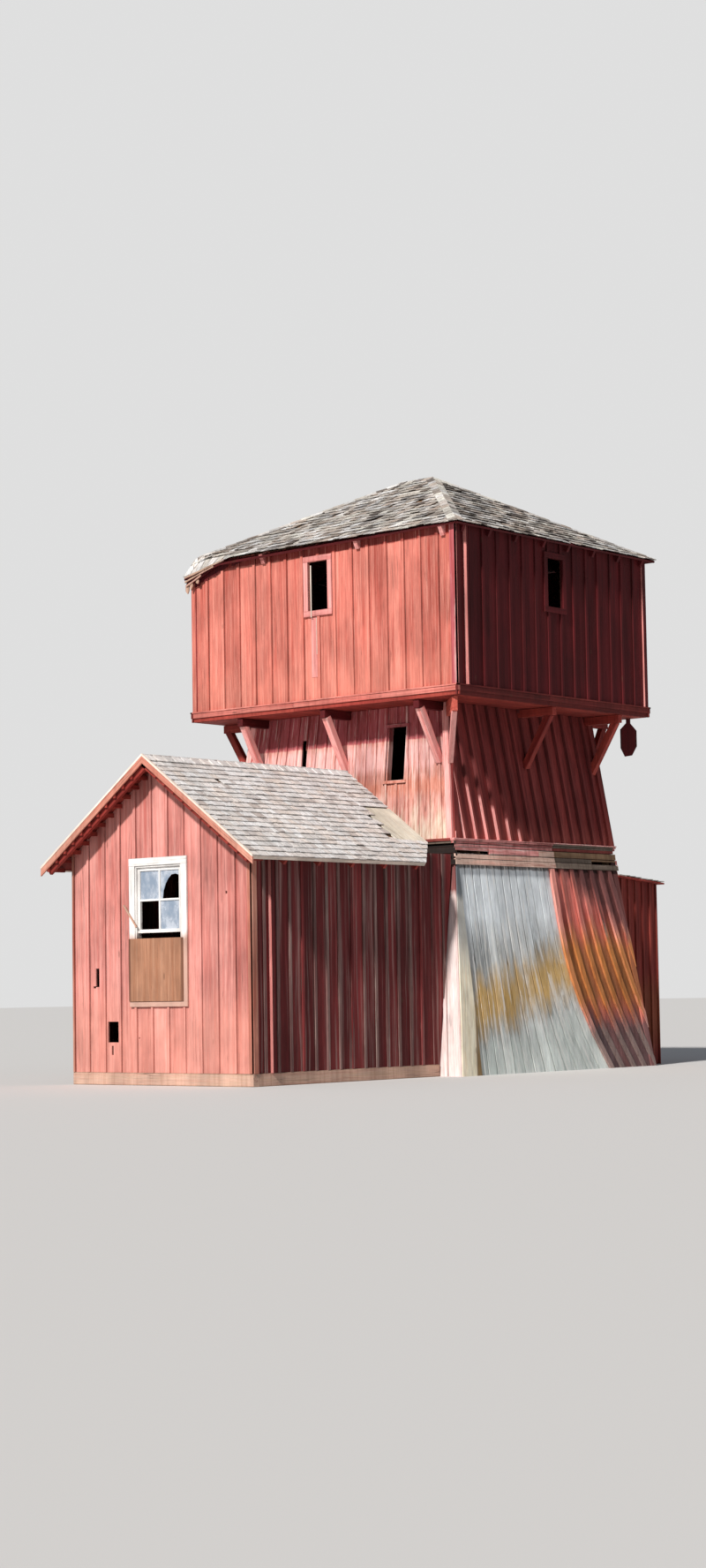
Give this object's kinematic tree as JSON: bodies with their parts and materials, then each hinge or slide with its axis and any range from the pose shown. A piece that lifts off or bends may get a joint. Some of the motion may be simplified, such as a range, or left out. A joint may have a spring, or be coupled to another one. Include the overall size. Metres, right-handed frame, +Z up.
{
  "type": "water tower",
  "caption": "Battered timber water tower with a hip-roofed tank room on knee braces and a gabled annex at its foot.",
  "frame": {"origin": "on the ground, under the middle of the building's outline in plan", "axes": "+X to the right as one faces the annex gable, +Y from the annex gable towards the rear bay, +Z up"},
  "size_m": [4.848, 8.746, 8.121],
  "materials": {
    "red_boards": "faded barn-red paint on rough vertical boards and battens, chalky and worn",
    "annex_boards": "sun-faded barn-red paint on vertical boards, thin where the wood shows",
    "bare_boards": "boards stripped of paint to silver-grey wood, stained ochre by lichen, with some red left",
    "red_timber": "faded red paint on sawn timber",
    "red_trim": "faded red paint on flat trim boards",
    "weathered_skirt": "brown-grey weathered boards with traces of red",
    "roof_shingles": "old split shingles, grey-brown and cupped",
    "floor_timber": "bare sawn timber, grey and dusty",
    "pale_trim": "old white paint, thin and stained",
    "white_sash": "white paint, chalky",
    "plywood": "weathered plywood, orange-brown",
    "window_glass": "dusty window glass"
  },
  "bodies": {
    "root": {"annex_bargeboards": "pale_trim", "annex_floor": "floor_timber", "annex_front_wall": "annex_boards", "annex_left_roof": "roof_shingles", "annex_left_wall": "annex_boards", "annex_lower_pane": "window_glass", "annex_right_roof": "roof_shingles", "annex_right_wall": "annex_boards", "annex_sill": "pale_trim", "annex_upper_pane": "window_glass", "annex_window_casing": "pale_trim", "annex_window_panel": "plywood", "annex_window_sash": "white_sash", "back_brace_left": "red_timber", "back_brace_middle": "red_timber", "back_brace_right": "red_timber", "base_back_wall": "red_boards", "base_floor": "floor_timber", "base_front_wall": "red_boards", "base_left_wall": "red_boards", "base_right_wall": "bare_boards", "belt_moulding": "red_timber", "belt_skirt": "weathered_skirt", "front_brace_left": "red_timber", "front_brace_middle": "red_timber", "front_brace_right": "red_timber", "left_brace_back": "red_timber", "left_brace_front": "red_timber", "left_brace_middle": "red_timber", "loose_board": "red_boards", "mid_back_wall": "red_boards", "mid_floor": "floor_timber", "mid_front_wall": "red_boards", "mid_left_wall": "red_boards", "mid_right_wall": "red_boards", "mid_window_casing": "red_trim", "rear_back_wall": "red_boards", "rear_door_casing": "pale_trim", "rear_floor": "floor_timber", "rear_left_wall": "red_boards", "rear_right_wall": "red_boards", "rear_roof": "roof_shingles", "right_brace_back": "red_timber", "right_brace_front": "red_timber", "right_brace_middle": "red_timber", "tank_back_roof": "roof_shingles", "tank_back_wall": "red_boards", "tank_back_window_casing": "red_trim", "tank_floor": "floor_timber", "tank_front_roof": "roof_shingles", "tank_front_wall": "red_boards", "tank_front_window_casing": "red_trim", "tank_left_roof": "roof_shingles", "tank_left_wall": "red_boards", "tank_left_window_casing": "red_trim", "tank_right_roof": "roof_shingles", "tank_right_wall": "red_boards", "tank_right_window_casing": "red_trim", "tank_rim": "red_timber"}
  },
  "joints": []
}
